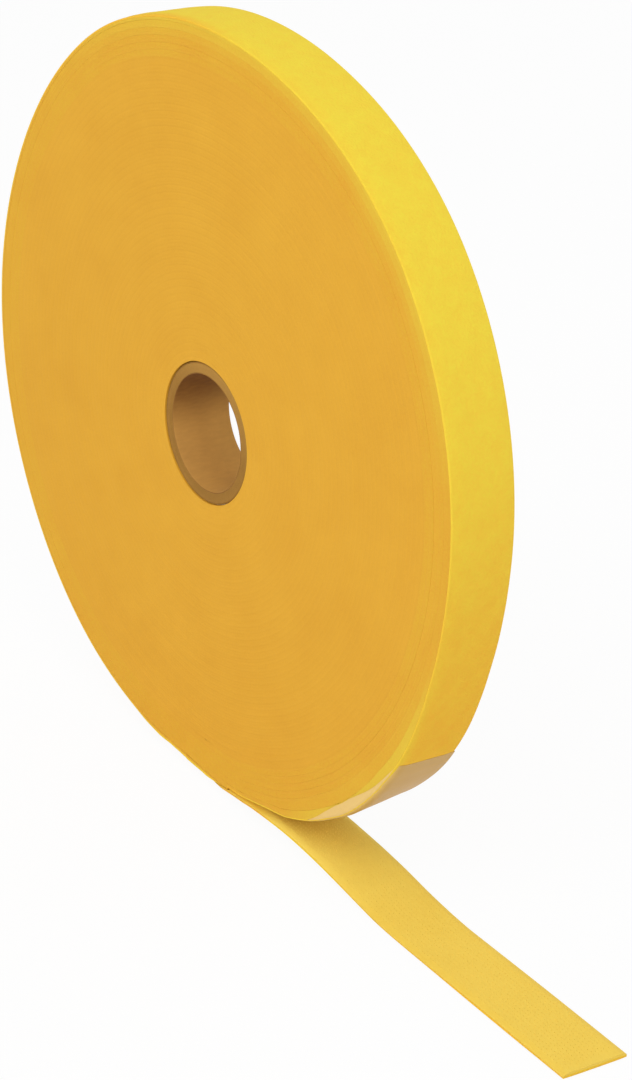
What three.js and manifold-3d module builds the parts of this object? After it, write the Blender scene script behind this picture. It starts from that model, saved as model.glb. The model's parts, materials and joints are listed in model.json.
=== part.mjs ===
import * as THREE from 'three';
import { mergeVertices } from 'three/addons/utils/BufferGeometryUtils.js';
import Module from 'manifold-3d';

// Yellow hook and loop tape, bonded back to back, wound on a paperboard core and standing on its rim.
// Millimetres, +Z up. The roll's axis runs along Y and the free tail runs out along +X on the floor.
// The origin lies on the floor, straight below the roll's axis.

// The tape: a hook layer on the inside of the winding and a loop layer on the outside
const tapeWidth = 25;
const hookThickness = 0.8;
const loopThickness = 1;
const glueLine = 0.1;
const turnGap = 0.46;

// The paperboard core
const coreBore = 42;
const coreWall = 4.2;
const linerThickness = 0.4;
const wrapThickness = 0.4;
const startTapeThickness = 0.2;
const startTapeLength = 30;

// The core has settled in the soft winding: it hangs below the roll's axis, and on the tail's side of it
const coreSag = 2.5;
const coreDrift = 2.5;

// The winding: the outer turns are a strip, over a plain ring of the packed turns
const rollDiameter = 278;
const shownTurns = 6;
const turnEndGap = 0.3;
const standingFlat = 0.5;

// The slack in the last turn, measured along the rim from the lowest point
const slackFrom = 58;
const slackLength = 97;
const slackHeight = 5;

// The strip of retaining tape over the slack, with a lip folded onto the front face
const retainerFrom = 49;
const retainerLength = 91;
const retainerThickness = 0.4;
const retainerGap = 0.3;
const lipFrom = 4;
const lipLength = 66;
const lipWidth = 3.5;

// The free tail: a flat foot beside the roll, a low hump that can lift, and an end that can bend
const takeOffGap = 0.3;
const footLength = 7;
const humpLength = 80;
const humpHeight = 4.5;
const landingLength = 4;
const endLength = 98.5;
const bendGap = 0.3;
const bendLimit = THREE.MathUtils.degToRad(60);

// Facets
const coreSegments = 72;
const stepsPerTurn = 60;
const retainerSteps = 10;
const humpSteps = 28;

// Radii and heights that follow from the sizes above
const fullTurn = 2 * Math.PI;
const tapeThickness = hookThickness + glueLine + loopThickness;
const turnPitch = tapeThickness + turnGap;
const boreRadius = coreBore / 2;
const coreRadius = boreRadius + coreWall;
const windingBore = coreRadius + glueLine + startTapeThickness + glueLine;
const rollRadius = rollDiameter / 2;
const packedRadius = rollRadius - (shownTurns + 1) * turnPitch;

// The roll's weight presses a flat into its rim; the tail starts where it just clears the rim
const axisHeight = rollRadius - standingFlat;
const takeOffDrop = axisHeight - tapeThickness;
const takeOff = Math.sqrt((rollRadius + takeOffGap) ** 2 - takeOffDrop ** 2);
const shownEnd = Math.atan2(takeOff, takeOffDrop) - turnEndGap / rollRadius;
const shownStart = shownEnd - shownTurns * fullTurn;

// A point at an angle about an axis along Y: zero is straight down and the angle grows towards +X
function polar(radius, angle) {
  return new THREE.Vector2(radius * Math.sin(angle), -radius * Math.cos(angle));
}

// Evenly spaced numbers from one end to the other
function spread(from, to, steps) {
  return Array.from({ length: steps + 1 }, (_, i) => from + ((to - from) * i) / steps);
}

// An outline in the XZ plane, made solid from one Y to another
function acrossWidth(shape, fromY = -tapeWidth / 2, toY = tapeWidth / 2) {
  const geometry = new THREE.ExtrudeGeometry(shape, { depth: toY - fromY, bevelEnabled: false });
  geometry.rotateX(Math.PI / 2);
  geometry.translate(0, toY, 0);
  return geometry;
}

// A tube about an axis along Y, as wide as the tape
function tube(innerRadius, outerRadius) {
  const half = tapeWidth / 2;
  const corners = [
    [innerRadius, -half],
    [outerRadius, -half],
    [outerRadius, half],
    [innerRadius, half],
    [innerRadius, -half],
  ];
  const profile = corners.map(([radius, y]) => new THREE.Vector2(radius, y));
  return new THREE.LatheGeometry(profile, coreSegments);
}

// A strip round the axis between two radii, each a function of the angle
function strip(angles, innerRadius, outerRadius) {
  const inner = angles.map((angle) => polar(innerRadius(angle), angle));
  const outer = angles.map((angle) => polar(outerRadius(angle), angle));
  return new THREE.Shape([...outer, ...inner.reverse()]);
}

// How far the last turn stands off the roll at a winding angle
function slack(angle) {
  const along = ((angle + fullTurn) * rollRadius - slackFrom) / slackLength;
  if (along <= 0 || along >= 1) {
    return 0;
  }
  return slackHeight * Math.sin(Math.PI * along) ** 2;
}

// Radius of the tape's inner face at a winding angle, which grows towards the free end
function tapeRadius(angle) {
  const wound = (angle - shownStart) / fullTurn;
  return packedRadius + turnGap + wound * turnPitch + slack(angle);
}

// The outer turns of one layer of the tape, from one depth in the tape to another
function layerTurns(fromDepth, toDepth) {
  const angles = spread(shownStart + turnEndGap / packedRadius, shownEnd, shownTurns * stepsPerTurn);
  const inner = (angle) => tapeRadius(angle) + fromDepth;
  const outer = (angle) => tapeRadius(angle) + toDepth;
  return { angles, inner, outer, shape: strip(angles, inner, outer) };
}

// Least distance between the outside of a strip and the inside of its later turns
function leastGap({ angles, inner, outer }) {
  const outside = angles.map((angle) => polar(outer(angle), angle));
  const inside = angles.map((angle) => polar(inner(angle), angle));
  let least = Infinity;
  for (let i = 0; i < angles.length; i += 1) {
    for (let j = i + Math.round(stepsPerTurn / 2); j < angles.length; j += 1) {
      least = Math.min(least, outside[i].distanceTo(inside[j]));
    }
  }
  return least;
}

// The packed turns: a ring on the settled core whose rim climbs by one turn and steps where the strip starts
function packedTurns() {
  const angles = spread(shownStart, shownStart + fullTurn, stepsPerTurn);
  const rim = angles.map((angle) => polar(tapeRadius(angle) - turnGap, angle));
  const ring = new THREE.Shape(rim);
  const bore = spread(0, fullTurn, coreSegments).slice(0, -1);
  const settled = new THREE.Vector2(coreDrift, -coreSag);
  ring.holes.push(new THREE.Path(bore.map((angle) => polar(windingBore, angle).add(settled))));
  return acrossWidth(ring);
}

// The strip of adhesive tape that ties the first turn to the core
function startTape() {
  const inside = coreRadius + glueLine;
  const halfAngle = startTapeLength / inside / 2;
  const angles = spread(-halfAngle, halfAngle, coreSegments / 4);
  return acrossWidth(strip(angles, () => inside, () => inside + startTapeThickness));
}

const wasm = await Module();
wasm.setup();

// A closed geometry as a solid that can be joined to others
function solidOf(geometry) {
  geometry.deleteAttribute('normal');
  geometry.deleteAttribute('uv');
  const merged = mergeVertices(geometry, 1e-4);
  const vertProperties = Float32Array.from(merged.attributes.position.array);
  const triVerts = Uint32Array.from(merged.index.array);
  return new wasm.Manifold(new wasm.Mesh({ numProp: 3, vertProperties, triVerts }));
}

// A joined solid as a geometry with flat facets
function geometryOf(solid) {
  const mesh = solid.getMesh();
  const geometry = new THREE.BufferGeometry();
  geometry.setAttribute('position', new THREE.BufferAttribute(mesh.vertProperties, 3));
  geometry.setIndex(new THREE.BufferAttribute(mesh.triVerts, 1));
  geometry.computeVertexNormals();
  return geometry;
}

// The retaining tape: a band over the slack of the rim, and the lip that its front margin makes
function retainingTape() {
  const angleAt = (along) => (retainerFrom + along) / rollRadius - fullTurn;
  const lipTo = lipFrom + lipLength;
  const below = spread(angleAt(0), angleAt(lipFrom), retainerSteps);
  const lip = spread(angleAt(lipFrom), angleAt(lipTo), retainerSteps);
  const above = spread(angleAt(lipTo), angleAt(retainerLength), retainerSteps);
  const angles = [...below.slice(0, -1), ...lip, ...above.slice(1)];
  const inside = (angle) => tapeRadius(angle) + tapeThickness + retainerGap;
  const outside = (angle) => inside(angle) + retainerThickness;
  const lipInside = (angle) => outside(angle) - lipWidth;
  const front = -tapeWidth / 2;
  const lipBack = front - retainerGap;
  const lipFront = lipBack - retainerThickness;
  const band = solidOf(acrossWidth(strip(angles, inside, outside)));
  const fold = solidOf(acrossWidth(strip(lip, inside, outside), lipFront, front + retainerThickness));
  const flap = solidOf(acrossWidth(strip(lip, lipInside, outside), lipFront, lipBack));
  return geometryOf(band.add(fold).add(flap));
}

// A layer of the winding with the flat that it stands on cut into it
function withStandingFlat(geometry) {
  return geometryOf(solidOf(geometry).trimByPlane([0, 0, 1], -axisHeight));
}

// Where the tail's lengths meet: the end of the foot, the far side of the hump, and the cut end
const footEnd = takeOff + footLength;
const humpEnd = footEnd + humpLength;
const bendFar = humpEnd + landingLength;
const tailEnd = bendFar + endLength;
const bendDepth = loopThickness + glueLine / 2;

// A point of the tail at a distance along the floor and a height above the tape's underside
function tailPoint(x, height) {
  const along = THREE.MathUtils.clamp((x - footEnd) / humpLength, 0, 1);
  const rise = (humpHeight * (1 - Math.cos(fullTurn * along))) / 2;
  const slope = (humpHeight * Math.PI * Math.sin(fullTurn * along)) / humpLength;
  const normal = new THREE.Vector2(-slope, 1).normalize();
  return new THREE.Vector2(x, rise).addScaledVector(normal, height);
}

// Half the opening of a bend at a height in the tape, so that both sides clear at the bend's limit
function bendRoom(height) {
  return bendGap / 2 + Math.abs(height - bendDepth) * Math.tan(bendLimit / 2);
}

// One layer of one length of the tail, between two heights; its ends are functions of the height
function tailLayer(bottom, top, { start, end, rise }) {
  const stations = (height) => [start(height), ...rise, end(height)];
  const under = stations(bottom).map((x) => tailPoint(x, bottom));
  const over = stations(top).map((x) => tailPoint(x, top));
  return acrossWidth(new THREE.Shape([...under, ...over.reverse()]));
}

// The three lengths of the tail, with the points between their ends where they rise and fall
const tailLengths = {
  foot: {
    start: () => takeOff,
    end: (height) => footEnd - bendRoom(height),
    rise: [],
  },
  hump: {
    start: (height) => footEnd + bendRoom(height),
    end: (height) => bendFar - bendRoom(height),
    rise: spread(footEnd, humpEnd, humpSteps).slice(1),
  },
  end: {
    start: (height) => bendFar + bendRoom(height),
    end: () => tailEnd,
    rise: [],
  },
};

const finish = (color, roughness) => new THREE.MeshStandardMaterial({ color, roughness, metalness: 0 });
const hookFinish = finish(0xe6bd4a, 0.6);
const loopFinish = finish(0xedc93c, 0.95);
const packedFinish = finish(0xe2aa38, 0.9);
const boardFinish = finish(0xb08550, 0.9);
const linerFinish = finish(0xa5783c, 0.85);
const retainerFinish = finish(0xc49c68, 0.5);
const adhesiveFinish = finish(0xd9cfae, 0.5);

function addPart(group, name, geometry, material) {
  const part = new THREE.Mesh(geometry, material);
  part.name = name;
  group.add(part);
}

const core = new THREE.Group();
core.position.set(coreDrift, 0, -coreSag);
const boardInside = boreRadius + linerThickness + glueLine;
const boardOutside = coreRadius - wrapThickness - glueLine;
addPart(core, 'core_inner_liner', tube(boreRadius, boreRadius + linerThickness), linerFinish);
addPart(core, 'core_board', tube(boardInside, boardOutside), boardFinish);
addPart(core, 'core_outer_wrap', tube(coreRadius - wrapThickness, coreRadius), boardFinish);
addPart(core, 'start_tape', startTape(), adhesiveFinish);

const roll = new THREE.Group();
roll.position.z = axisHeight;
roll.add(core);
addPart(roll, 'packed_turns', packedTurns(), packedFinish);
const hookTurns = layerTurns(0, hookThickness);
const loopTurns = layerTurns(hookThickness + glueLine, tapeThickness);
addPart(roll, 'hook_outer_turns', acrossWidth(hookTurns.shape), hookFinish);
addPart(roll, 'loop_outer_turns', withStandingFlat(acrossWidth(loopTurns.shape)), loopFinish);
addPart(roll, 'retaining_tape', retainingTape(), retainerFinish);
console.log(`Hook turns: least gap to themselves ${leastGap(hookTurns).toFixed(2)} mm`);
console.log(`Loop turns: least gap to themselves ${leastGap(loopTurns).toFixed(2)} mm`);

const tail = new THREE.Group();
for (const [name, length] of Object.entries(tailLengths)) {
  const hookLayer = tailLayer(loopThickness + glueLine, tapeThickness, length);
  const loopLayer = tailLayer(0, loopThickness, length);
  addPart(tail, `hook_tail_${name}`, hookLayer, hookFinish);
  addPart(tail, `loop_tail_${name}`, loopLayer, loopFinish);
}

const tapeRoll = new THREE.Group();
tapeRoll.add(roll, tail);
export default tapeRoll;
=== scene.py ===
# %% [markdown]
# # A roll of yellow hook and loop tape
# A long tape with tiny hooks on one side and soft loops on the other is wound on a paperboard core.
# The roll stands on its rim, and the tape's free tail runs out along the floor.
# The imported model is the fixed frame: it says where each piece sits and which body it moves with.
# Every solid is replaced by a finer mesh, and each surface gets a finish made of nodes.

# %% Load the frame
import json
import math

import bpy
import numpy as np
from mathutils import Matrix, Vector, noise


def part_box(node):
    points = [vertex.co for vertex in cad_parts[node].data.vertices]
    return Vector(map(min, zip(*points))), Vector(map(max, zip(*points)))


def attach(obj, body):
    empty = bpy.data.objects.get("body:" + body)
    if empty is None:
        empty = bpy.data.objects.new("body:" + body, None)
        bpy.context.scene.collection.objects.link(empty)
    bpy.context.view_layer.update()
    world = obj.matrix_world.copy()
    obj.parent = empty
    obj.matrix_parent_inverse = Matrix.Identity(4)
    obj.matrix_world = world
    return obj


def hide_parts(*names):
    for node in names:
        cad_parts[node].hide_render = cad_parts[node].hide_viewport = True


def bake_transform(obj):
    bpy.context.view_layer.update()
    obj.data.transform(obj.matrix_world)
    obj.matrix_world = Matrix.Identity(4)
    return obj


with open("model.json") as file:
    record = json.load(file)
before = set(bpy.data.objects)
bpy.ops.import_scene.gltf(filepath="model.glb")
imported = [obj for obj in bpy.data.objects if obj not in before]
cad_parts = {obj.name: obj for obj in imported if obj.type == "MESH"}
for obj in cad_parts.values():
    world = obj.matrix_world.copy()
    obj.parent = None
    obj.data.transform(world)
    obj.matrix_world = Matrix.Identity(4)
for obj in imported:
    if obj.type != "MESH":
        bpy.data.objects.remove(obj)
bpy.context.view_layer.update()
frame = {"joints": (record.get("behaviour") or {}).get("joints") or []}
joints = {joint["name"]: joint for joint in frame["joints"]}

# %% [markdown]
# ## Sizes
# A maker thinks in the tape's width, its thickness and the pitch from one turn to the next.
# Most of these can be measured on the frame's own boxes, so that the pieces fit if the model changes.
# The thicknesses inside one turn are too thin to read from a box, so they are written down here.

# %% Sizes of the tape, the roll and the tail
MM = 0.001
axis_height = joints["unwind"]["pos_m"][2]
half_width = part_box("packed_turns")[1].y
core_low, core_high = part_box("core_outer_wrap")
core_centre = (core_low + core_high) / 2
core_radius = (core_high.x - core_low.x) / 2
core_wall = 4.2 * MM
bore_radius = core_radius - core_wall
core_sag = axis_height - core_centre.z
pressed_flat = 0.5 * MM
roll_radius = axis_height + pressed_flat
hook_thickness, loop_thickness = 0.85 * MM, 1.05 * MM
tape_thickness = hook_thickness + loop_thickness
turn_pitch = 2.36 * MM
outer_turns = 6
take_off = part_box("loop_tail_foot")[0].x
lift_at = joints["tail_lift"]["pos_m"][0]
bend_at = joints["tail_bend"]["pos_m"][0]
tail_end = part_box("loop_tail_end")[1].x
turn_end = math.atan2(take_off, axis_height - tape_thickness)
print(f"roll {2 * roll_radius / MM:.0f} mm across, tape {2 * half_width / MM:.0f} mm wide")
print(f"the last turn ends {math.degrees(turn_end):.1f} degrees past the lowest point")
print(f"the core hangs {core_sag / MM:.1f} mm low and {core_centre.x / MM:.1f} mm towards the tail")

# %% [markdown]
# ## The camera
# The photograph looks at the roll from the front right and from above, through a long lens.
# A camera is a place, a point to aim at and a small roll about the line of sight.
# Building the rotation from three axes keeps it exact, where turning by hand would only come close.

# %% Camera at the photograph's angle
camera_azimuth, camera_height = math.radians(54.73), math.radians(23.8)
camera_roll, camera_distance = math.radians(3.8), 919 * MM
roll_centre = Vector((0, 0, axis_height))
aim = roll_centre + Vector((53.3, 0, -24.4)) * MM
outward = Vector((
    math.sin(camera_azimuth) * math.cos(camera_height),
    -math.cos(camera_azimuth) * math.cos(camera_height),
    math.sin(camera_height),
))
eye = roll_centre + outward * camera_distance
back = (eye - aim).normalized()
level = Vector((0, 0, 1)).cross(back).normalized()
upright = back.cross(level)
right = level * math.cos(camera_roll) + upright * math.sin(camera_roll)
up = upright * math.cos(camera_roll) - level * math.sin(camera_roll)
camera_data = bpy.data.cameras.new("photo_camera")
camera_data.sensor_width = 36
camera_data.lens = 87.7
camera_data.clip_start, camera_data.clip_end = 0.01, 30
camera = bpy.data.objects.new("photo_camera", camera_data)
bpy.context.scene.collection.objects.link(camera)
camera.matrix_world = Matrix((
    (right.x, up.x, back.x, eye.x),
    (right.y, up.y, back.y, eye.y),
    (right.z, up.z, back.z, eye.z),
    (0, 0, 0, 1),
))
bpy.context.scene.camera = camera
print("camera at", [round(value, 3) for value in eye])

# %% [markdown]
# ## Making meshes from rows of points
# Wound tape is a flat strip that follows a spiral, so one helper sweeps a closed section along a path.
# It takes the points as a block: stations along the strip by points round the section.
# The ends are closed, so each piece is a solid body, and hard corners are marked by their angle.
# A tint can be stored on each point; the finishes read it later, 0 for their deep colour and 1 for the pale.


# %% Helpers that turn points into pieces
def new_piece(name, points, faces, corner=40):
    mesh = bpy.data.meshes.new(name)
    mesh.from_pydata(np.asarray(points, float).reshape(-1, 3).tolist(), [], faces)
    mesh.update()
    mesh.shade_smooth()
    mesh.set_sharp_from_angle(angle=math.radians(corner))
    piece = bpy.data.objects.new(name, mesh)
    bpy.context.scene.collection.objects.link(piece)
    return piece


def swept(name, block, ring=False, corner=40):
    stations, around, _ = block.shape
    index = np.arange(stations * around).reshape(stations, around)
    steps = stations if ring else stations - 1
    ahead = np.roll(index, -1, axis=0)
    beside = np.roll(index, -1, axis=1)
    both = np.roll(beside, -1, axis=0)
    quads = np.stack([index, beside, both, ahead], axis=-1)[:steps].reshape(-1, 4)
    faces = quads.tolist()
    if not ring:
        faces += [index[0, ::-1].tolist(), index[-1].tolist()]
    return new_piece(name, block, faces, corner)


def tinted(piece, values):
    layer = piece.data.attributes.new("tint", "FLOAT", "POINT")
    layer.data.foreach_set("value", np.asarray(values, np.float32).ravel())


# %% [markdown]
# ### Curves drawn from listed heights
# Soft forms are easier to shape from a few listed heights than from a formula, so those are smoothed here.
# An ease runs from 0 to 1 without a kink, and a ramp is an ease between two places given in millimetres.


# %% Helpers for soft curves and for points round the axis
def ease(value):
    value = np.clip(value, 0, 1)
    return value * value * (3 - 2 * value)


def ramp(value, start_mm, end_mm):
    return ease((value / MM - start_mm) / (end_mm - start_mm))


def smoothed(values, window, ends="edge"):
    weights = np.hanning(window)
    padded = np.pad(values, window // 2, mode=ends)
    return np.convolve(padded, weights / weights.sum(), mode="valid")


def round_axis(radius, angle, across):
    x = radius * np.sin(angle)
    z = axis_height - radius * np.cos(angle)
    return np.stack(np.broadcast_arrays(x, across, z), axis=-1)


# %% [markdown]
# ## How the tape is wound
# The tape's radius grows by one pitch each turn, so a winding angle is enough to place any point of it.
# The last turn is slack at the lower right, where it bulges, and it thins out where the tail takes over.
# A slow wander of a few hundredths of a millimetre keeps the turns from looking machined.


# %% The spiral, the slack and the wander
slack_degrees = [12, 20, 28, 36, 44, 52, 58, 63, 68, 74, 82, 88]
slack_heights = [0, 1.1, 2.9, 4.6, 5.1, 5.1, 4.6, 3.7, 2.4, 1.1, 0.3, 0]
thins_from, thinned_by = 4.5, 0.88


def inner_radius(wound):
    return roll_radius - tape_thickness + turn_pitch * wound / (2 * math.pi)


def slack(angle):
    fine = np.linspace(0, 90, 361)
    heights = smoothed(np.interp(fine, slack_degrees, slack_heights), 25)
    return np.interp(np.degrees(angle), fine, heights) * MM


def thinning(wound):
    past_start = np.degrees(wound + turn_end) - thins_from
    return 1 - thinned_by * ease(past_start / (math.degrees(turn_end) - thins_from))


def wander(wound):
    slow = 0.03 * np.sin(0.137 * wound + 1) + 0.02 * np.sin(0.43 * wound + 2.1)
    return (slow + 0.01 * np.sin(2.91 * wound + 0.4)) * MM


turns_in_all = (roll_radius - tape_thickness - core_radius) / turn_pitch
tape_length = math.pi * (roll_radius + core_radius) * turns_in_all
print(f"about {turns_in_all:.0f} turns, {tape_length:.1f} m of tape")

# %% [markdown]
# ## How the roll has settled
# A soft roll that stands on its rim doesn't stay round: its rim has moved by up to four millimetres.
# The turns move less towards the hard core, which itself hangs a little off the roll's axis.
# Beside the nip the slack hangs lower at the front edge, and close to the floor that edge curls up.
# Each piece could be sculpted by itself, but one function that moves every point keeps them together.


# %% The settled form and the soft front edge
packed_outside = roll_radius - (outer_turns + 1) * turn_pitch
settled_degrees = [0, 50, 80, 120, 136, 150, 164, 178, 195, 210, 225, 245, 270, 300, 330, 342, 350, 356, 360]
settled_heights = [0, 0.7, 1.5, 2.4, 2.4, 1.3, 0.2, 0.6, 2.5, 3.9, 3.0, 1.6, 0.6, -1, -1.3, -2.4, -3.4, -2, 0]
sagging_degrees = [17, 22, 26, 32, 37, 41, 46, 54]
sagging_depths = [0, 0.5, 1.6, 1.6, 1.1, 1.4, 1.0, 0]
curled_x = [-28, -18, -11, -4, 4, 10, 19, 28, 36]
curled_heights = [0, 0.9, 2.4, 3.2, 3.5, 3.4, 2.1, 0.8, 0]
curl_width = 5 * MM


def settled(angle, radius):
    fine = np.arange(361)
    heights = smoothed(np.interp(fine, settled_degrees, settled_heights), 25, ends="wrap")
    share = np.clip((radius - core_radius) / (roll_radius - core_radius), 0, 1) ** 2
    return share * np.interp(np.degrees(angle) % 360, fine, heights) * MM


def front_sag(radius, angle, across):
    towards_front = ease((half_width - across) / (2 * half_width))
    towards_rim = ease((radius - packed_outside) / (roll_radius - packed_outside))
    depth = np.interp(np.degrees(angle) % 360, sagging_degrees, sagging_depths) * MM
    return depth * towards_front * towards_rim


def front_curl(points):
    x, across, z = np.moveaxis(points, -1, 0)
    front_edge = ease((curl_width - half_width - across) / curl_width)
    near_floor = 1 - ramp(z, 0, 30)
    return np.interp(x / MM, curled_x, curled_heights) * MM * front_edge * near_floor


def on_roll(radius, angle, across):
    soft_radius = radius + settled(angle, radius) + front_sag(radius, angle, across)
    points = round_axis(soft_radius, angle, across)
    near_core = 1 - np.clip((radius - core_radius) / (packed_outside - core_radius), 0, 1)
    points[..., 0] += core_centre.x * near_core
    points[..., 2] -= core_sag * near_core
    points[..., 2] += front_curl(points)
    return points


print("the rim has settled by", min(settled_heights), "to", max(settled_heights), "mm before smoothing")

# %% [markdown]
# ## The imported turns
# Under the last few turns lie some forty more, pressed together so that only their edges show.
# They could be one flat ring with a picture of lines, but lines on a flat face catch no light.
# Here the grid itself follows the spiral: eight points across each turn give its two layers and a crevice.
# The first turn is tucked against the core: it starts thin, so that the inside is a true circle.

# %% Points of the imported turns
packed_turn_count = 42
columns = 120
tucked_radius = core_radius + 0.35 * MM
closing_rise = 0.55 * MM
first_radius = roll_radius - (outer_turns + packed_turn_count) * turn_pitch
turn_shape = [0, 0.09, 0.22, 0.38, 0.46, 0.56, 0.78, 0.92]
turn_recess = [0.045, 0.02, 0.005, 0.01, 0.025, 0.005, 0, 0.015]
per_turn = len(turn_shape)
row = np.arange(packed_turn_count * per_turn + 1)
row_turn = row // per_turn + np.array(turn_shape)[row % per_turn]
packed_angle = 2 * math.pi * np.arange(columns)[:, None] / columns
packed_wound = 2 * math.pi * (row_turn[None, :] - 1) + packed_angle
packed_radius = first_radius + turn_pitch * packed_wound / (2 * math.pi)
second_turn = first_radius + turn_pitch * packed_angle / (2 * math.pi)
tucked = tucked_radius + (second_turn - tucked_radius) * row_turn[None, :]
packed_radius = np.where(row_turn[None, :] < 1, tucked, packed_radius)
packed_radius[:, -1] += closing_rise
packed_radius[-1, -1 - per_turn] += closing_rise
recess = np.array(turn_recess)[row % per_turn] * MM
recess[-1] = 0
wound_to_end = packed_wound - 2 * math.pi * (outer_turns + packed_turn_count - 1)
face_out = half_width - recess[None, :] + wander(wound_to_end)
front = on_roll(packed_radius, packed_angle + turn_end, -face_out)
rear = on_roll(packed_radius, packed_angle + turn_end, face_out)
print("packed turns:", front.shape[0], "columns of", front.shape[1], "points on each face")

# %% [markdown]
# ### Joining the columns
# Neighbouring columns are joined row by row, on the front and on the rear.
# The last column meets the first one a whole turn further out, and that shift makes the rows a spiral.
# Two walls close the inside and the outside, and cloudy patches in the tint break up the even rings.

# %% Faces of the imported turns
turn_tint = [0.4, 0.44, 0.48, 0.48, 0.45, 0.5, 0.52, 0.47]
rows = len(row)
front_index = np.arange(columns * rows).reshape(columns, rows)
to_rear = columns * rows
packed_faces = []
for column in range(columns):
    shift = per_turn if column == columns - 1 else 0
    here = front_index[column, : rows - shift]
    there = front_index[(column + 1) % columns, shift:]
    quads = np.stack([here[:-1], there[:-1], there[1:], here[1:]], axis=-1)
    packed_faces += quads.tolist()
    packed_faces += (quads[:, ::-1] + to_rear).tolist()
inner_loop = front_index[:, 0].tolist() + front_index[0, per_turn:0:-1].tolist()
outer_loop = front_index[:, -1].tolist() + front_index[-1, -2 : -per_turn - 2 : -1].tolist()
for loop, inward in ((inner_loop, True), (outer_loop, False)):
    for a, b in zip(loop, loop[1:] + loop[:1]):
        wall = [a, b, b + to_rear, a + to_rear]
        packed_faces.append(wall[::-1] if inward else wall)
packed = new_piece("packed_winding", np.concatenate([front, rear]), packed_faces, corner=60)
places = [Vector(vertex.co) for vertex in packed.data.vertices]
patches = np.array([noise.noise(place / (25 * MM)) + noise.noise(place / (9 * MM)) for place in places])
layer_tint = np.tile(np.array(turn_tint)[row % per_turn], (2 * columns, 1))
tinted(packed, layer_tint.ravel() + 0.09 * patches)
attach(packed, "roll")
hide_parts("packed_turns")
print("packed turns:", len(packed.data.vertices), "points")

# %% [markdown]
# ## The outer turns
# The last six turns are two real strips, wound side by side: the hook layer, and the loop layer outside it.
# Each is a soft-edged section swept along the spiral, so a turn can bulge, thin out and show its own edge.
# A curve object with a bevel could wind too, but it couldn't change its thickness on one side only.


# %% A soft-edged section, swept along the spiral
thin_edge = 0.03 * MM


def edge_round(steps):
    turn = np.linspace(-math.pi / 2, math.pi / 2, steps)
    return np.stack([(1 + np.sin(turn)) / 2, np.cos(turn)], axis=-1)


def wound_strip(wound, inside, outside, across, edge_steps=5, soft_inside=thin_edge, soft_outside=thin_edge):
    edge = edge_round(edge_steps)
    middle = np.linspace(1, -1, across + 2)[1:-1]
    share = np.concatenate([edge[:, 0], np.ones(across), edge[::-1, 0], np.zeros(across)])
    side = np.concatenate([-np.ones(edge_steps), -middle, np.ones(edge_steps), middle])
    draw_in = np.concatenate([edge[:, 1] - 1, np.zeros(across), edge[::-1, 1] - 1, np.zeros(across)])
    radius = inside[:, None] + (outside - inside)[:, None] * share[None, :]
    soft = np.where(share > 0.5, soft_outside, soft_inside)
    height = axis_height * (1 - np.cos(wound + turn_end)) - pressed_flat
    above_floor = ramp(height, 0, 8)[:, None]
    edge_at = half_width + wander(wound)[:, None] + (soft * draw_in)[None, :] * (0.2 + 0.8 * above_floor)
    block = on_roll(radius, (wound + turn_end)[:, None], side[None, :] * edge_at)
    return block, share


def along(first_turn, last_turn, steps_per_turn):
    count = int(round((last_turn - first_turn) * steps_per_turn))
    return 2 * math.pi * np.linspace(first_turn, last_turn, count + 1)


below = along(-outer_turns - 1 / columns, -1, 150)
last = along(-1, 0, 720)
print(len(below), "stations on the turns below the rim,", len(last), "on the last turn")

# %% [markdown]
# ### Hook and loop turns
# Under the slack, the turn below puffs up and closes the room, as a soft tape does when it is let loose.
# The edges of the last turns carry a painted highlight at the upper right and, under the slack, at the lower
# right.
# A lamp could show that, but here the highlight is painted into the tint, so it turns with the tape.


# %% The hook and loop layers of the last turns
slack_share = 0.45
turn_gap = 0.02 * MM


# Painted highlight: the tint of the turn edges is raised at the upper right and, under the slack, at the
# lower right.
def rim_painted_highlight(wound):
    turns_below = np.floor(-wound / (2 * math.pi) - 1e-6)
    angle = np.degrees(wound + turn_end) % 360
    upper_right = ease((angle - 95) / 35) * ease((235 - angle) / 45)
    lower_right = ease((angle - 24) / 12) * ease((85 - angle) / 25)
    upper_highlight = np.interp(turns_below, [0, 1, 2, 3], [0.4, 0.28, 0.1, 0]) * upper_right
    lower_highlight = np.interp(turns_below, [0, 1, 2], [0.45, 0.08, 0]) * lower_right
    return 0.47 + upper_highlight + lower_highlight


puffed = np.where(below > -4 * math.pi, slack(below + turn_end + 4 * math.pi), 0) * slack_share
loop_inside = inner_radius(below) + hook_thickness
loop_outside = inner_radius(below) + turn_pitch - turn_gap + puffed
block, _ = wound_strip(below, loop_inside, loop_outside, across=3)
loop_turns = swept("loop_turns", block)
tinted(loop_turns, np.repeat(rim_painted_highlight(below), block.shape[1]))
last_slack = slack(last + turn_end + 2 * math.pi)
hook_wound = np.concatenate([below[:-1], last])
hook_slack = np.concatenate([np.zeros(len(below) - 1), last_slack])
hook_inside = inner_radius(hook_wound) + hook_slack * slack_share
hook_outside = inner_radius(hook_wound) + hook_slack + hook_thickness * thinning(hook_wound)
block, _ = wound_strip(hook_wound, hook_inside, hook_outside, across=3)
hook_turns = swept("hook_turns", block)
tinted(hook_turns, np.repeat(rim_painted_highlight(hook_wound), block.shape[1]))
for piece, node, slot in (
    (loop_turns, "loop_outer_turns", "loop_tape"),
    (hook_turns, "hook_outer_turns", "hook_tape"),
):
    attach(piece, "roll")
    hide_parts(node)
    print(piece.name, len(piece.data.vertices), "points")

# %% [markdown]
# ## The rim
# The last turn's loop layer is the lemon-yellow rim, the widest thing that the eye meets.
# Its grid is finer than the other turns', because the pile swells and dips and its shoulders are soft.
# A bump in the finish could stand for the pile, but real swellings show on the outline too.
# The weight of the roll presses a small flat into it, so no point may lie below the floor.


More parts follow.
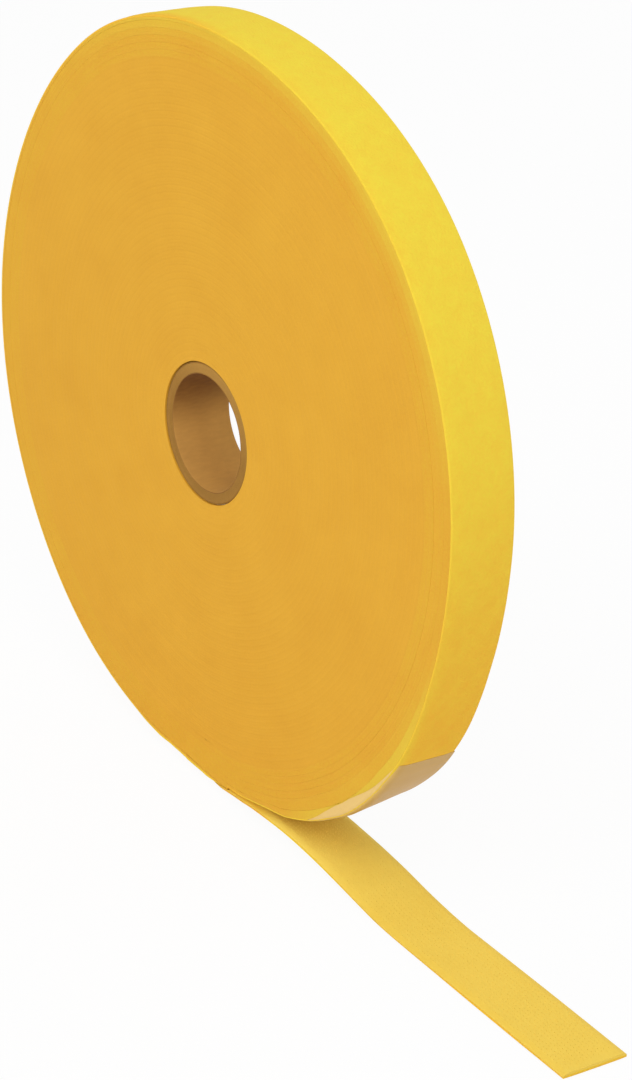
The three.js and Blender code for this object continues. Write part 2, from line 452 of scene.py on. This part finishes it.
# %% The last turn, with its pile and its flat
pile_across, pile_edge_steps = 26, 7
pile_height, pile_grain = 0.06 * MM, 4 * MM
shoulder_width = 4.5 * MM
flat_height = 0.15 * MM


def crown_drop(across):
    depth = np.where(across < 0, 0.45, 0.2) * MM
    return depth * ease((np.abs(across) - half_width + shoulder_width) / shoulder_width)


rim_inside = inner_radius(last) + last_slack + hook_thickness * thinning(last)
rim_outside = rim_inside + (loop_thickness + 0.1 * MM) * thinning(last)
rim_block, rim_share = wound_strip(
    last, rim_inside, rim_outside, pile_across, pile_edge_steps, soft_inside=0.1 * MM, soft_outside=0.55 * MM
)
rim_points = rim_block.reshape(-1, 3)
outward_way = rim_points * (1, 0, 1) - (0, 0, axis_height)
outward_way /= np.linalg.norm(outward_way, axis=1)[:, None]
pile = np.array([noise.fractal(Vector(point) / pile_grain, 1.0, 2.0, 3) for point in rim_points])
on_pile = np.zeros(rim_block.shape[:2])
on_pile[:, pile_edge_steps : pile_edge_steps + pile_across] = 1
on_pile = on_pile.ravel()
off_floor = ramp(rim_points[:, 2], 0, 9)
drop = crown_drop(rim_points[:, 1]) * off_floor * np.tile(rim_share, len(last))
rise = pile * on_pile * pile_height - drop
rim_points = rim_points + outward_way * rise[:, None]
rim_points[:, 2] = np.maximum(rim_points[:, 2], flat_height)
rim = swept("last_turn_pile", rim_points.reshape(rim_block.shape))
print("rim:", len(rim.data.vertices), "points, pile from", round(pile.min(), 2), "to", round(pile.max(), 2))

# %% [markdown]
# ### The rim's tint is raised with height, a painted highlight that makes it lemon at the top and leaves it amber low down.
# The rim got more light at the top, where it has paled to lemon, than low down, where it is still amber.
# Its soft front margin carries a painted highlight low down and painted shade behind the top.
# Where the last turn begins, the margin starts plain, so that no hard step shows there.

# %% Tint of the rim
height = rim_points[:, 2] / axis_height
# Painted highlight: the rim's tint rises the higher it lies.
painted_top_light = 0.14 + 0.12 * height + 0.5 * ease((height - 0.55) / 1.05)
# Painted highlight on the front margin low down, and painted shade on it behind the top.
front_margin = ease((shoulder_width - half_width - rim_points[:, 1]) / shoulder_width)
shaded_past_top = (1 - ramp(rim_points[:, 0], -25, 15)) * ease(height - 1)
margin_highlight_and_shade = np.interp(height, [0.1, 0.45, 0.8, 1.3, 1.7], [0.5, 0.45, 0.1, 0.02, -0.15])
past_start = np.repeat(ease(np.degrees(last + 2 * math.pi) / 9), rim_block.shape[1])
margin_painted_light = front_margin * (margin_highlight_and_shade - 0.5 * shaded_past_top) * past_start
tinted(rim, painted_top_light + margin_painted_light + 0.12 * pile * on_pile)
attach(rim, "roll")
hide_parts("loop_outer_turns")
print("rim's tint from", round(painted_top_light.min(), 2), "to", round(painted_top_light.max(), 2))

# %% [markdown]
# ## The retaining tape
# A short strip of beige adhesive tape keeps the slack from running back.
# Half way along, its front margin turns the corner of the rim and sticks to the face as a pale lip, partly
# the film's own tone and partly a painted highlight.
# A flat strip with a curve modifier would follow the rim, but it couldn't turn a corner along one edge.
# So the sheet is laid out flat, as arc by width, and each point is then wrapped round the corner.


# %% How the film wraps round the corner of the rim
film, film_gap = 0.16 * MM, 0.12 * MM
corner_radius = 1.6 * MM


def rim_radius(angle):
    wound = angle - turn_end - 2 * math.pi
    return inner_radius(wound) + slack(angle) + tape_thickness + film_gap


def wrapped(angle, across, lift):
    spill = np.maximum(-half_width + corner_radius - across, 0)
    turned = np.minimum(spill / corner_radius, math.pi / 2)
    down = spill - turned * corner_radius
    reach = corner_radius + lift
    side = np.where(spill > 0, -half_width + corner_radius - reach * np.sin(turned), across)
    drop = np.where(spill > 0, corner_radius - reach * np.cos(turned) + down, -lift)
    crown = crown_drop(side) * (1 - 0.48 * turned)
    return on_roll(rim_radius(angle) - drop - crown, angle, side)


# %% Wrapped sheet of retaining tape
film_low, film_high = math.radians(20), math.radians(58)
front_degrees = [20, 23, 27, 30, 35, 40, 44, 49, 54, 59]
front_edges = [-11.8, -11.8, -11.9, -12.2, -14.0, -16.2, -16.2, -14.6, -13.2, -12.2]
film_rest, ripple_height, end_press = 0.14 * MM, 0.04 * MM, 0.08 * MM
film_angle = np.linspace(film_low, film_high, 71)
film_front = np.interp(np.degrees(film_angle), front_degrees, front_edges) * MM
film_front += 0.12 * MM * np.sin(37 * film_angle)
share = np.linspace(0, 1, 41)
film_across = film_front[:, None] + (half_width + 0.1 * MM - film_front)[:, None] * share[None, :]
sheet_angle = film_angle[:, None] + (0.5 - share[None, :]) * math.radians(1)
from_end = np.minimum(film_angle - film_low, film_high - film_angle)[:, None]
ripple = ripple_height * np.sin(9 * sheet_angle + 500 * film_across) + film_rest
ripple = (ripple + end_press) * ease(from_end / math.radians(3)) - end_press
under = wrapped(sheet_angle, film_across, ripple)
over = wrapped(sheet_angle, film_across, ripple + film)
film_block = np.concatenate([under, over[:, ::-1]], axis=1)
retaining = swept("retaining_film", film_block[:, ::-1])
# The lip's tint is raised: partly the film's own paler tone, partly a painted highlight where the glossy film
# turns the corner.
lip_tone_and_highlight = 0.2 + 0.8 * ease((-half_width + 2.5 * MM - film_across) / (3 * MM))
tinted(retaining, np.concatenate([lip_tone_and_highlight, lip_tone_and_highlight[:, ::-1]], axis=1)[:, ::-1])
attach(retaining, "roll")
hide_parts("retaining_tape")

# %% [markdown]
# ## The free tail
# The tail leaves the nip under the roll, rises in a low hump, and then lies on the floor, hooks up.
# In the nip it fills the wedge up to the rim, and past the hump it is slightly twisted.
# A strip of tape needs no cloth simulation: its long section hardly sags, so its height is drawn as a curve.


# %% The tail's shape along the floor
tail_x = [8, 13, 19, 22, 25, 27, 29.5, 32, 37, 42, 48, 55, 62, 70, 78, 86, 95, 104, 112, 118, 126, 240]
tail_z = [
    0.03, 0.2, 0.6, 1.0, 1.7, 2.3, 2.8, 3.3, 4.2, 4.8, 5.2,
    5.5, 5.65, 5.4, 4.8, 4.0, 2.9, 1.8, 0.8, 0.25, 0.03, 0.03,
]
tail_start, tail_split = 14 * MM, 76 * MM
shown_end = tail_end - 1.5 * MM
nip_gap, filled_to = 0.12 * MM, 36 * MM
least_thickness = 0.12 * MM


def tail_rise(x):
    fine = np.arange(0, 241, 0.5)
    heights = smoothed(np.interp(fine, tail_x, tail_z), 19)
    return np.interp(x / MM, fine, heights) * MM


def nip_height(x):
    angle = np.arcsin(np.clip(x / roll_radius, -1, 1))
    last_turn = tape_thickness * thinning(np.minimum(angle, turn_end) - turn_end) - tape_thickness + nip_gap
    turn_below = slack(angle) - turn_pitch + nip_gap
    clear = roll_radius + np.where(angle < turn_end, last_turn, turn_below)
    return axis_height - np.sqrt(np.maximum(clear**2 - np.minimum(x, clear) ** 2, 0))


def tail_thickness(x):
    room = nip_height(x) - tail_rise(x)
    return np.clip(np.where(x < filled_to, room, np.minimum(tape_thickness, room)), least_thickness, None)


nip_x = np.arange(60)
nip_opens = float(np.interp(tape_thickness, nip_height(nip_x * MM), nip_x))
print(f"hump: {tail_rise(67 * MM) / MM:.2f} mm; the nip opens at {nip_opens:.1f} mm")

# %% [markdown]
# ### A point of the tail
# A point is given by its place along the tail, across it, and its share of the thickness.
# The thickness is laid off square to the curve, and both selvages are thinner than the middle.
# The tail cups, drifts to the front and twists by a millimetre at most, so that it looks laid by hand.


# %% Where a point of the tail lies
selvage_width = 2.2 * MM
cup_height, side_drift, twist_height = 0.18 * MM, 0.65 * MM, 1.0 * MM


def tail_point(x, across, share):
    slope = (tail_rise(x + 0.5 * MM) - tail_rise(x - 0.5 * MM)) / MM
    cup = cup_height * (across / half_width) ** 4 * ramp(x, 40, 100)
    selvage = ease((np.abs(across) - half_width + selvage_width) / selvage_width)
    height = share * tail_thickness(x) * (1 - 0.4 * selvage)
    drift = side_drift * ramp(x, 80, 140)
    past_hump = ramp(x, 72, 106) * (1 - ramp(x, 114, 140))
    twist = twist_height * past_hump * (0.5 + 0.5 * across / half_width)
    z = tail_rise(x) + height + cup + twist
    points = np.stack(np.broadcast_arrays(x - slope * height, across - drift, z), axis=-1)
    points[..., 2] += front_curl(points)
    return points


# %% [markdown]
# ### The tail's two layers
# Both layers use the same sweep: a section that is wide and thin, with soft selvages.
# The tail bends at two places, so it is cut into two lengths, and each length reaches across one bend.
# The cut end is slightly oblique, as scissors leave it.


# %% Hook and loop layers of the tail
layer_across, layer_edge_steps, layer_step = 21, 5, 0.8 * MM
oblique_run = 30 * MM


def tail_layer(name, x_from, x_to, low, high, soft):
    x = np.linspace(x_from, x_to, int((x_to - x_from) / layer_step) + 1)
    edge, across = edge_round(layer_edge_steps), np.linspace(-1, 1, layer_across + 2)[1:-1]
    flat, ones = np.zeros(layer_across), np.ones(layer_edge_steps)
    share = np.concatenate([edge[:, 0], flat + 1, edge[::-1, 0], flat])
    side = np.concatenate([-ones, across, ones, -across])
    inset = np.concatenate([edge[:, 1] - 1, flat, edge[::-1, 1] - 1, flat])
    wobble = 0.1 * MM * np.sin(61 * x + 40 * low)
    tucked_in = np.interp(x / MM, [14, 22, 45], [0.9, 0.25, 0])[:, None] * MM
    y = side[None, :] * (half_width - tucked_in) + np.sign(side)[None, :] * soft * inset[None, :]
    y = y + wobble[:, None]
    near_end = ease((x[:, None] - shown_end + oblique_run) / oblique_run)
    oblique = (y / half_width + 0.3) * MM * near_end
    block = tail_point(x[:, None] + oblique, y, low + (high - low) * share[None, :])
    piece = swept(name, block)
    selvage = ease((np.abs(side) * half_width - half_width + selvage_width) / (1.2 * MM))
    # Painted light: the tail's tint is raised near the roll, where the roll's shadow falls on it.
    painted_light_by_roll = 0.4 * (1 - ramp(x, 75, 120))
    # Painted shade: the selvages are darker all along, and much darker in the nip under the roll.
    painted_edge_shade = 0.15 + 0.9 * (1 - ramp(x, 42, 58))
    tinted(piece, 0.45 + painted_light_by_roll[:, None] - painted_edge_shade[:, None] * selvage[None, :])
    return piece


layer_split = loop_thickness / tape_thickness
tail_pieces = {}
for length, x_from, x_to in (("near", tail_start, tail_split), ("far", tail_split, shown_end)):
    loops = tail_layer(f"tail_loops_{length}", x_from, x_to, 0, layer_split, 0.3 * MM)
    hooks = tail_layer(f"tail_hooks_{length}", x_from, x_to, layer_split, 1, 0.25 * MM)
    tail_pieces[length] = (loops, hooks)
    print(loops.name, hooks.name, len(hooks.data.vertices), "points each")

# %% [markdown]
# ## The hooks
# The upper side of the tail carries rows of hooks, each a thread half a millimetre tall that bends over.
# One hook is a short tube round five points; copies of it are placed in rows, leaning both ways in turn.
# Real geometry this small costs little, and it gives the grain that a close look expects.


# %% Rows of small hooks
hook_path = np.array([(0, -0.1), (0, 0.22), (0.05, 0.36), (0.15, 0.42), (0.24, 0.33)]) * MM
hook_radius = 0.075 * MM
hook_pitch, hook_row_count, hook_scatter = 1.5 * MM, 14, 0.12 * MM


def hook_rows(name, x_from, x_to):
    x = np.arange(x_from, x_to, hook_pitch)
    y = np.linspace(-half_width + selvage_width, half_width - selvage_width, hook_row_count)
    grid_x, grid_y = (values.ravel() for values in np.meshgrid(x, y, indexing="ij"))
    odd = np.arange(len(grid_x)) % 2
    seed = np.random.default_rng(7)
    grid_x = grid_x + 0.5 * hook_pitch * odd + seed.normal(0, hook_scatter, len(grid_x))
    grid_y = grid_y + seed.normal(0, hook_scatter, len(grid_y))
    lean = 1.0 - 2.0 * odd
    base = tail_point(grid_x, grid_y, np.ones(len(grid_x)))
    corner = np.array([(1, 0), (0, 1), (-1, 0), (0, -1)]) * hook_radius
    ring_x = base[:, 0, None, None] + lean[:, None, None] * (hook_path[:, 0, None] + corner[None, :, 0])
    ring_y = base[:, 1, None, None] + corner[None, None, :, 1]
    ring_z = base[:, 2, None, None] + hook_path[None, :, 1, None]
    points = np.stack(np.broadcast_arrays(ring_x, ring_y, ring_z), axis=-1)
    rings = len(hook_path)
    index = np.arange(rings * 4).reshape(rings, 4)
    beside = np.roll(index, -1, axis=1)
    quads = np.stack([index[:-1], beside[:-1], beside[1:], index[1:]], axis=-1).reshape(-1, 4)
    one = np.concatenate([quads, [index[0, ::-1], index[-1]]])
    faces = (one[None] + (np.arange(len(points)) * rings * 4)[:, None, None]).reshape(-1, 4)
    flip = np.repeat(lean < 0, len(one))
    faces[flip] = faces[flip][:, ::-1]
    piece = new_piece(name, points, faces.tolist(), corner=70)
    tinted(piece, np.full(len(piece.data.vertices), 0.55))
    print(name, len(points), "hooks")
    return piece


hook_pieces = {
    "near": hook_rows("tail_hook_rows_near", 56 * MM, tail_split - 0.4 * MM),
    "far": hook_rows("tail_hook_rows_far", tail_split + 0.9 * MM, shown_end - 2.5 * MM),
}

# %% [markdown]
# ## The tail's two bends
# Tape bends softly, while a joint turns one body against another at a sharp line.
# Here each length of the tail is fixed where it lies, and the imported parts that it stands for are hidden.
# A run round each bend is listed, but nothing here shares points between the two bodies.

# %% The tail's lengths, fixed where they lie
bends = {
    "near": ("tail_foot", "tail_hump", lift_at - 4 * MM, lift_at + 6 * MM),
    "far": ("tail_hump", "tail_end", bend_at - 10 * MM, bend_at + 10 * MM),
}
stands_for = {"near": ("foot", "hump"), "far": ("hump", "end")}
for length, (body_a, body_b, start_x, end_x) in bends.items():
    loops, hooks = tail_pieces[length]
    rows_of_hooks = hook_pieces[length]
    for piece in (loops, hooks, rows_of_hooks):
        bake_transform(piece)
    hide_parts(*(f"loop_tail_{part}" for part in stands_for[length]))
    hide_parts(*(f"hook_tail_{part}" for part in stands_for[length]))
print("the tail bends at", round(lift_at / MM, 1), "and", round(bend_at / MM, 1), "mm")

# %% [markdown]
# ## The core
# The core is a tube of many plies of paper: a smooth liner in the bore, grey-brown board, and an outer wrap.
# Its cut end shows the plies as fine rings, and in the bore the edge of the liner runs round as a helix.
# A section swept round the axis gives all three, with small steps in the section for the plies.


# %% Helpers for tubes round the core's axis
core_segments = 180
core_angle = 2 * math.pi * np.arange(core_segments) / core_segments
round_core = core_angle[:, None]


def on_core(radius, angle, across):
    return round_axis(radius, angle, across) + np.array([core_centre.x, 0, -core_sag])


def turned_tube(section):
    section = np.asarray(section) * MM
    return on_core(section[None, :, 0], round_core, section[None, :, 1])


def tube_section(inside, outside, half, soft, wall_steps, end_steps, end_recess=None):
    y = np.linspace(half - soft, -half + soft, wall_steps)
    r = np.linspace(inside + soft, outside - soft, end_steps)
    recess = np.zeros(end_steps) if end_recess is None else np.asarray(end_recess)
    inner_wall = [(inside, value) for value in y]
    front_end = [(radius, -half + cut) for radius, cut in zip(r, recess)]
    outer_wall = [(outside, value) for value in y[::-1]]
    rear_end = [(radius, half - cut) for radius, cut in zip(r[::-1], recess[::-1])]
    return inner_wall + front_end + outer_wall + rear_end


# %% Liner of the core
paper_mm, glue_mm = 0.4, 0.05
bore_mm, core_mm = bore_radius / MM, core_radius / MM
half_mm = half_width / MM - 0.5
bore_steps, helix_lead, liner_lap = 27, 38 * MM, 0.08 * MM
liner_section = tube_section(
    bore_mm, bore_mm + paper_mm, half_mm - 0.05, soft=0.12, wall_steps=bore_steps, end_steps=3
)
liner_block = turned_tube(liner_section)
bore_y = liner_block[:, :bore_steps, 1].copy()
helix = np.mod(round_core / (2 * math.pi) + bore_y / helix_lead, 1)
step = liner_lap * (ease(helix / 0.03) - helix)
bore_way = np.stack([np.sin(core_angle), np.zeros(core_segments), -np.cos(core_angle)], axis=-1)
liner_block[:, :bore_steps] += bore_way[:, None, :] * step[:, :, None]
liner = swept("core_liner_paper", liner_block, ring=True)
# Painted shade in the upper part of the bore and painted light towards its far end; the lowest part is a
# little darker, and the helix seam is a fine step in the tint.
upper = ease(0.1 - np.cos(round_core - 0.35))
lowest = ease(np.cos(round_core))
far_end = ramp(bore_y, -2, 10)
liner_seam_and_painted_light = np.full(liner_block.shape[:2], 0.3)
liner_seam_and_painted_light[:, :bore_steps] = 0.76 + 0.04 * helix - 0.74 * upper - 0.12 * lowest + 0.28 * far_end * (1 - upper)
tinted(liner, liner_seam_and_painted_light)
print("bore", round(2 * bore_mm, 1), "mm across, core", round(2 * core_mm, 1), "mm")

# %% Board and wrap of the core
plies, board_steps = 25, 3
ply = np.arange(plies)
ply_recess = 0.05 + 0.06 * (ply % 3 == 0) + 0.03 * np.sin(2.3 * ply)
board_inside, board_outside = bore_mm + paper_mm + glue_mm, core_mm - paper_mm - glue_mm
board_section = tube_section(board_inside, board_outside, half_mm, 0.1, board_steps, plies, ply_recess)
board = swept("core_board_plies", turned_tube(board_section), ring=True, corner=80)
ply_tint = 0.35 + 0.3 * (ply % 3 == 0) + 0.1 * np.sin(1.7 * ply)
wall_tint = np.full(board_steps, 0.5)
board_tint = np.concatenate([wall_tint, ply_tint, wall_tint, ply_tint[::-1]])
# Painted light: the board's tint is raised towards the top of the core.
tinted(board, board_tint[None, :] + 0.5 * ease(-np.cos(round_core + 0.3)))
wrap_section = tube_section(core_mm - paper_mm, core_mm, half_mm - 0.03, soft=0.1, wall_steps=5, end_steps=4)
wrap = swept("core_wrap_paper", turned_tube(wrap_section), ring=True)
tinted(wrap, np.full(len(wrap.data.vertices), 0.4))
for piece, node, slot in (
    (liner, "core_inner_liner", "kraft_liner"),
    (board, "core_board", "paperboard"),
    (wrap, "core_outer_wrap", "paperboard"),
):
    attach(piece, "roll")
    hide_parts(node)
    print(piece.name, len(piece.data.vertices), "points")

# %% [markdown]
# ## The start of the winding
# A short strip of double-sided film ties the first turn to the core.
# It lies between the two, and is narrower than the tape, so that it hardly shows.
# It could be left out, but then nothing would hold the tape to the core when it is unwound.

# %% Film between the core and the first turn
start_length, start_half = 30 * MM, half_width - 1.2 * MM
start_gap, start_thickness = 0.08 * MM, 0.18 * MM
start_angle = np.linspace(-1, 1, 61) * 0.5 * start_length / core_radius
start_y = np.linspace(-start_half, start_half, 21)
start_inside = core_radius + start_gap
start_under = on_core(start_inside, start_angle[:, None], start_y[None, :])
start_over = on_core(start_inside + start_thickness, start_angle[:, None], start_y[None, ::-1])
start_film = swept("start_film", np.concatenate([start_over, start_under], axis=1))
tinted(start_film, np.full(len(start_film.data.vertices), 0.5))
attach(start_film, "roll")
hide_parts("start_tape")
print("start film:", len(start_film.data.vertices), "points")

# %% [markdown]
# ## Finishes
# Every finish starts from two near colours and mixes them by the tint painted on the mesh and by noise.
# Fine noise makes fibres, and coarse noise makes the cloudy unevenness that dyed cloth has.
# The same fine noise drives the bump and the roughness, so that all three agree where a fibre lies.
# A photograph of cloth could be laid on instead, but it would show seams and carry its own light.


# %% Helpers that add nodes
def add_node(tree, kind, **settings):
    node = tree.nodes.new("ShaderNode" + kind)
    for socket, value in settings.items():
        node.inputs[socket.replace("_", " ")].default_value = value
    return node


def math_node(tree, operation, *values):
    node = tree.nodes.new("ShaderNodeMath")
    node.operation = operation
    for socket, value in zip(node.inputs, values):
        if isinstance(value, bpy.types.NodeSocket):
            tree.links.new(value, socket)
        else:
            socket.default_value = value
    return node.outputs[0]


def dress(piece, material):
    piece.data.materials.clear()
    piece.data.materials.append(material)


# %% A finish of two colours, fibres and clouds
def finish(name, deep, pale, fibre, cloud, relief, rough, sheen=0.0, stretch=(1, 1, 1), contrast=0.5):
    material = bpy.data.materials.new(name)
    material.use_nodes = True
    tree = material.node_tree
    link = tree.links.new
    place = tree.nodes.new("ShaderNodeTexCoord")
    mapping = add_node(tree, "Mapping", Scale=stretch)
    fibres = add_node(tree, "TexNoise", Scale=fibre, Detail=4)
    clouds = add_node(tree, "TexNoise", Scale=cloud, Detail=2)
    link(place.outputs["Object"], mapping.inputs["Vector"])
    link(mapping.outputs["Vector"], fibres.inputs["Vector"])
    link(place.outputs["Object"], clouds.inputs["Vector"])
    tint = tree.nodes.new("ShaderNodeAttribute")
    tint.attribute_name = "tint"
    with_fibres = math_node(tree, "MULTIPLY_ADD", fibres.outputs["Fac"], contrast, tint.outputs["Fac"])
    with_clouds = math_node(tree, "MULTIPLY_ADD", clouds.outputs["Fac"], 0.5 * contrast, with_fibres)
    evened = math_node(tree, "SUBTRACT", with_clouds, 0.75 * contrast)
    mix = tree.nodes.new("ShaderNodeMix")
    mix.data_type = "RGBA"
    mix.inputs["A"].default_value = (*deep, 1)
    mix.inputs["B"].default_value = (*pale, 1)
    link(evened, mix.inputs["Factor"])
    worn = add_node(tree, "MapRange", To_Min=max(rough - 0.1, 0), To_Max=min(rough + 0.1, 1))
    link(fibres.outputs["Fac"], worn.inputs["Value"])
    bump = add_node(tree, "Bump", Strength=0.6, Distance=relief)
    link(fibres.outputs["Fac"], bump.inputs["Height"])
    shader = tree.nodes["Principled BSDF"]
    link(mix.outputs["Result"], shader.inputs["Base Color"])
    link(worn.outputs["Result"], shader.inputs["Roughness"])
    link(bump.outputs["Normal"], shader.inputs["Normal"])
    shader.inputs["Specular IOR Level"].default_value = 0.25
    shader.inputs["Sheen Weight"].default_value = sheen
    shader.inputs["Sheen Roughness"].default_value = 0.5
    shader.inputs["Sheen Tint"].default_value = (*pale, 1)
    return material


# %% [markdown]
# ### The tape's finishes
# The cut edges of the turns are amber, the pile runs from amber to a painted lemon highlight with a soft
# sheen, and the woven side is paler.
# The weave is drawn out along the tail by stretching the noise, because its threads run that way.
# One finish for all would be shorter, but edge, pile and weave take the light differently.

# %% Finishes of the tape
edge_finish = finish(
    "packed_tape_edges", (0.7, 0.335, 0.024), (0.83, 0.455, 0.04),
    fibre=1500, cloud=45, relief=0.12 * MM, rough=0.85,
)
hook_edge_finish = finish(
    "hook_turn_edges", (0.74, 0.27, 0.02), (0.79, 0.55, 0.045),
    fibre=1500, cloud=45, relief=0.12 * MM, rough=0.85,
)
pile_finish = finish(
    "loop_pile", (0.88, 0.45, 0.035), (0.88, 0.69, 0.053),
    fibre=1100, cloud=60, relief=0.3 * MM, rough=0.95, sheen=0.25,
)
turn_finish = finish(
    "loop_turn_edges", (0.74, 0.27, 0.02), (0.79, 0.56, 0.045),
    fibre=1300, cloud=45, relief=0.15 * MM, rough=0.9,
)
weave_finish = finish(
    "woven_hook_tape", (0.83, 0.54, 0.058), (0.97, 0.73, 0.125),
    fibre=1600, cloud=80, relief=0.1 * MM, rough=0.7, stretch=(0.4, 1.6, 1),
)
dress(packed, edge_finish)
dress(hook_turns, hook_edge_finish)
dress(loop_turns, turn_finish)
dress(rim, pile_finish)
for length in tail_pieces:
    dress(tail_pieces[length][0], pile_finish)
    dress(tail_pieces[length][1], weave_finish)
    dress(hook_pieces[length], weave_finish)
print("finishes so far:", len(bpy.data.materials))

# %% [markdown]
# ### Film, paper and board
# The films are smoother than cloth, and the beige one has fine streaks drawn out across the strip.
# The kraft liner is painted dark brown in the upper part of the bore as painted shade, and pale brown low
# down and towards the far end as painted light, where light falls in.
# The same function serves them all, with weaker fibres, a lower relief and less contrast.

# %% Finishes of the films and of the core
film_finish = finish(
    "beige_film", (0.53, 0.305, 0.065), (0.84, 0.57, 0.185),
    fibre=500, cloud=60, relief=0.04 * MM, rough=0.45, stretch=(1, 0.15, 1), contrast=0.25,
)
board_finish = finish(
    "paperboard", (0.26, 0.12, 0.017), (0.46, 0.24, 0.048),
    fibre=1800, cloud=120, relief=0.1 * MM, rough=0.9,
)
liner_finish = finish(
    "kraft_liner", (0.17, 0.06, 0.006), (0.66, 0.345, 0.078),
    fibre=900, cloud=60, relief=0.04 * MM, rough=0.75, stretch=(1, 0.3, 1), contrast=0.25,
)
adhesive_finish = finish(
    "adhesive_film", (0.6, 0.52, 0.33), (0.74, 0.68, 0.48),
    fibre=700, cloud=90, relief=0.03 * MM, rough=0.5,
)
dress(retaining, film_finish)
dress(liner, liner_finish)
dress(board, board_finish)
dress(wrap, board_finish)
dress(start_film, adhesive_finish)
print("finishes in all:", len(bpy.data.materials))

# %% [markdown]
# ## The floor
# The photograph has a white ground with a soft shadow, and the floor throws light back up at the roll.
# A plain white floor would come out grey in the picture, because it gets less than full light.
# So for the camera most of it is plain white light, and the rest is paper that keeps the shadow.


# %% Floor
white = (1, 1, 1, 1)
glow_share = 0.94
floor_mesh = bpy.data.meshes.new("studio_floor")
floor_mesh.from_pydata([(-5, -5, 0), (5, -5, 0), (5, 5, 0), (-5, 5, 0)], [], [(0, 1, 2, 3)])
floor = bpy.data.objects.new("studio_floor", floor_mesh)
floor.location.z = -0.2 * MM
bpy.context.scene.collection.objects.link(floor)


def seen_directly(tree):
    path = tree.nodes.new("ShaderNodeLightPath")
    seen = math_node(tree, "MAXIMUM", path.outputs["Is Camera Ray"], path.outputs["Is Glossy Ray"])
    return math_node(tree, "MAXIMUM", seen, path.outputs["Is Transmission Ray"])


floor_finish = bpy.data.materials.new("white_paper_sweep")
floor_finish.use_nodes = True
tree = floor_finish.node_tree
tree.nodes.clear()
paper = add_node(tree, "BsdfDiffuse", Color=(0.9, 0.9, 0.9, 1))
glow = add_node(tree, "Emission", Color=white)
blend = tree.nodes.new("ShaderNodeMixShader")
result = tree.nodes.new("ShaderNodeOutputMaterial")
tree.links.new(math_node(tree, "MULTIPLY", seen_directly(tree), glow_share), blend.inputs[0])
tree.links.new(paper.outputs[0], blend.inputs[1])
tree.links.new(glow.outputs[0], blend.inputs[2])
tree.links.new(blend.outputs[0], result.inputs["Surface"])
dress(floor, floor_finish)
print("floor at", round(floor.location.z / MM, 1), "mm")

# %% [markdown]
# ## World and lamps
# The light in the photograph is soft and comes from all round, so an even world gives much of it.
# Four wide soft boxes add the rest: overhead, in front, at the side and behind.
# One hard lamp would be simpler, but it would draw a sharp shadow and burn out the pale rim.

# %% World
world_strength = 0.54
world = bpy.data.worlds.new("studio")
bpy.context.scene.world = world
world.use_nodes = True
tree = world.node_tree
tree.nodes.clear()
soft_light = add_node(tree, "Background", Color=white, Strength=world_strength)
white_ground = add_node(tree, "Background", Color=white)
blend = tree.nodes.new("ShaderNodeMixShader")
result = tree.nodes.new("ShaderNodeOutputWorld")
tree.links.new(seen_directly(tree), blend.inputs[0])
tree.links.new(soft_light.outputs[0], blend.inputs[1])
tree.links.new(white_ground.outputs[0], blend.inputs[2])
tree.links.new(blend.outputs[0], result.inputs["Surface"])
print("world light:", world_strength)


# %% Lamps
def soft_box(name, place, size, watts):
    lamp = bpy.data.lights.new(name, "AREA")
    lamp.shape = "DISK"
    lamp.size = size
    lamp.energy = watts
    lamp_object = bpy.data.objects.new(name, lamp)
    lamp_object.location = place
    lamp_object.rotation_euler = (roll_centre - Vector(place)).to_track_quat("-Z", "Y").to_euler()
    bpy.context.scene.collection.objects.link(lamp_object)


soft_box("overhead_soft_box", place=(0.5, -0.5, 1.5), size=1.2, watts=7)
soft_box("front_soft_box", place=(-0.3, -1.6, 0.9), size=1.2, watts=6.6)
soft_box("side_soft_box", place=(1.4, -0.7, 0.8), size=0.9, watts=4.2)
soft_box("back_soft_box", place=(0.1, 1.6, 0.5), size=1.2, watts=4.5)
bpy.context.scene.view_settings.view_transform = "Standard"
print("lamps:", len(bpy.data.lights))
